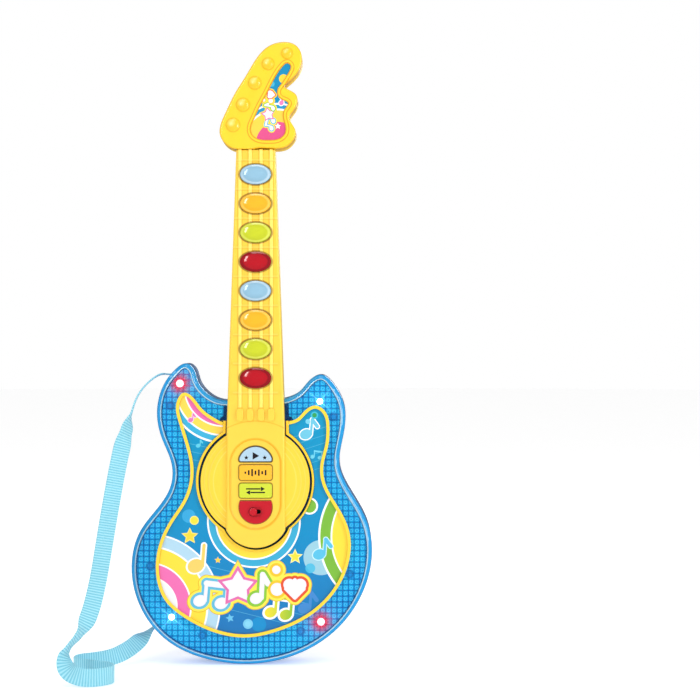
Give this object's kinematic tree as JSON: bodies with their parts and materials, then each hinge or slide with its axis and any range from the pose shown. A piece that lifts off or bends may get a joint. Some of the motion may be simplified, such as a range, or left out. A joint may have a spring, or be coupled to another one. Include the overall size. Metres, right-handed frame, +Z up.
{
  "type": "toy electric guitar",
  "caption": "Upright toy guitar: clear blue horned body, yellow neck with sprung oval note buttons, control panel with slide switch, printed face and webbing strap.",
  "frame": {"origin": "middle of the guitar's box in X and Y, at the lowest point of the body", "axes": "+Z up the neck, +Y from the face to the back, +X to the right seen from the front"},
  "size_m": [0.2629, 0.1224, 0.5565],
  "materials": {
    "clear_shell": "glossy, tinted clear",
    "blue_plastic": "glossy moulded",
    "diffuser": "moulded cells",
    "printed_plate": "printed sheet",
    "yellow_plastic": "satin moulded",
    "yellow_trim": "glossy moulded",
    "printed_sticker": "printed film",
    "red_plastic": "glossy moulded",
    "lime_plastic": "glossy moulded",
    "orange_plastic": "glossy moulded",
    "pale_plastic": "glossy moulded",
    "silicone": "matt silicone",
    "circuit_board": "solder resist",
    "black_plastic": "matt",
    "white_plastic": "matt",
    "paper_cone": "pressed paper",
    "steel": "zinc plated",
    "spring_steel": "nickel plated",
    "cell_sleeve": "printed sleeve, plain",
    "lamp_red": "clear lens",
    "lamp_white": "clear lens",
    "wire_sleeve": "soft vinyl",
    "webbing": "ribbed woven tape"
  },
  "bodies": {
    "guitar": {"batteries": "cell_sleeve", "battery_springs": "spring_steel", "battery_tray": "black_plastic", "battery_wires": "wire_sleeve", "board_screws": "steel", "body_screws": "steel", "capacitors": "black_plastic", "control_keypad": "silicone", "disc_rim": "yellow_trim", "face_plate": "printed_plate", "face_trim": "yellow_trim", "flat_contacts": "spring_steel", "front_shell": "clear_shell", "headstock_front": "yellow_plastic", "headstock_sticker": "printed_sticker", "lamp_holders": "white_plastic", "lamp_red_lower": "lamp_red", "lamp_red_upper": "lamp_red", "lamp_white_lower": "lamp_white", "lamp_white_upper": "lamp_white", "lamp_wires": "wire_sleeve", "light_diffuser": "diffuser", "main_board": "circuit_board", "main_chip": "black_plastic", "mic_jack": "black_plastic", "neck_back": "yellow_plastic", "neck_board": "circuit_board", "neck_front": "yellow_plastic", "neck_keypad": "silicone", "neck_screws": "steel", "rear_shell": "blue_plastic", "ribbon_cable": "white_plastic", "speaker_cone": "paper_cone", "speaker_frame": "steel", "speaker_magnet": "steel", "speaker_screws": "steel", "speaker_wires": "wire_sleeve", "spring_plates": "spring_steel", "strap": "webbing", "strap_pin_lower": "steel", "strap_pin_upper": "steel", "switch_body": "black_plastic", "switch_plate": "red_plastic"},
    "note_button_1": {"note_button_1": "red_plastic"},
    "note_button_2": {"note_button_2": "lime_plastic"},
    "note_button_3": {"note_button_3": "orange_plastic"},
    "note_button_4": {"note_button_4": "pale_plastic"},
    "note_button_5": {"note_button_5": "red_plastic"},
    "note_button_6": {"note_button_6": "lime_plastic"},
    "note_button_7": {"note_button_7": "orange_plastic"},
    "note_button_8": {"note_button_8": "pale_plastic"},
    "demo_button": {"demo_button": "pale_plastic"},
    "rhythm_button": {"rhythm_button": "orange_plastic"},
    "change_button": {"change_button": "lime_plastic"},
    "switch_knob": {"switch_knob": "red_plastic"},
    "battery_door": {"battery_door": "blue_plastic", "battery_door_screw": "steel"}
  },
  "joints": [
    {"name": "note_press_1", "type": "slide", "parent": "guitar", "child": "note_button_1", "axis": [0, 1, 0], "range_m": [0, 0.0015], "stiffness_N_per_m": 600, "springref_m": -0.0005},
    {"name": "note_press_2", "type": "slide", "parent": "guitar", "child": "note_button_2", "axis": [0, 1, 0], "range_m": [0, 0.0015], "stiffness_N_per_m": 600, "springref_m": -0.0005},
    {"name": "note_press_3", "type": "slide", "parent": "guitar", "child": "note_button_3", "axis": [0, 1, 0], "range_m": [0, 0.0015], "stiffness_N_per_m": 600, "springref_m": -0.0005},
    {"name": "note_press_4", "type": "slide", "parent": "guitar", "child": "note_button_4", "axis": [0, 1, 0], "range_m": [0, 0.0015], "stiffness_N_per_m": 600, "springref_m": -0.0005},
    {"name": "note_press_5", "type": "slide", "parent": "guitar", "child": "note_button_5", "axis": [0, 1, 0], "range_m": [0, 0.0015], "stiffness_N_per_m": 600, "springref_m": -0.0005},
    {"name": "note_press_6", "type": "slide", "parent": "guitar", "child": "note_button_6", "axis": [0, 1, 0], "range_m": [0, 0.0015], "stiffness_N_per_m": 600, "springref_m": -0.0005},
    {"name": "note_press_7", "type": "slide", "parent": "guitar", "child": "note_button_7", "axis": [0, 1, 0], "range_m": [0, 0.0015], "stiffness_N_per_m": 600, "springref_m": -0.0005},
    {"name": "note_press_8", "type": "slide", "parent": "guitar", "child": "note_button_8", "axis": [0, 1, 0], "range_m": [0, 0.0015], "stiffness_N_per_m": 600, "springref_m": -0.0005},
    {"name": "demo_press", "type": "slide", "parent": "guitar", "child": "demo_button", "axis": [0, 1, 0], "range_m": [0, 0.0012], "stiffness_N_per_m": 600, "springref_m": -0.0005},
    {"name": "rhythm_press", "type": "slide", "parent": "guitar", "child": "rhythm_button", "axis": [0, 1, 0], "range_m": [0, 0.0012], "stiffness_N_per_m": 600, "springref_m": -0.0005},
    {"name": "change_press", "type": "slide", "parent": "guitar", "child": "change_button", "axis": [0, 1, 0], "range_m": [0, 0.0012], "stiffness_N_per_m": 600, "springref_m": -0.0005},
    {"name": "power_slide", "type": "slide", "parent": "guitar", "child": "switch_knob", "axis": [1, 0, 0], "range_m": [0, 0.0044]},
    {"name": "battery_door_lift", "type": "slide", "parent": "guitar", "child": "battery_door", "axis": [0, 1, 0], "range_m": [0, 0.014]}
  ]
}
